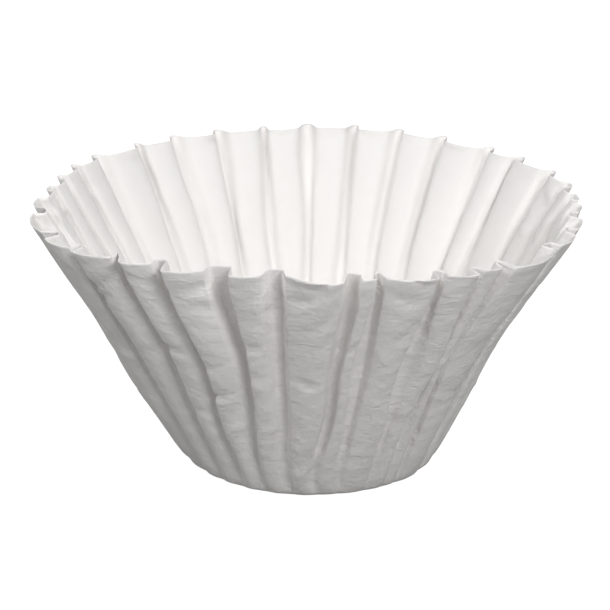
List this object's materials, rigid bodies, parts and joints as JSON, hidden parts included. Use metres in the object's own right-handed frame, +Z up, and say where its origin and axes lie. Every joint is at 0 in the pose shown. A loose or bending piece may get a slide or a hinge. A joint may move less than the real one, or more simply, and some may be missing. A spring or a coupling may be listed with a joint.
{
  "type": "paper coffee filter",
  "caption": "Fluted basket coffee filter: a round sheet of white paper pressed to an open cup with a flat round base and a pleated wall that widens to the mouth.",
  "frame": {"origin": "middle of the flat base, on the face that the filter stands on", "axes": "+Z up out of the open mouth; -Y is the front in the picture and +X its right"},
  "size_m": [0.2898, 0.2925, 0.1439],
  "materials": {
    "filter_paper": "matt white creped filter paper"
  },
  "bodies": {
    "root": {"coffee_filter": "filter_paper"}
  },
  "joints": []
}
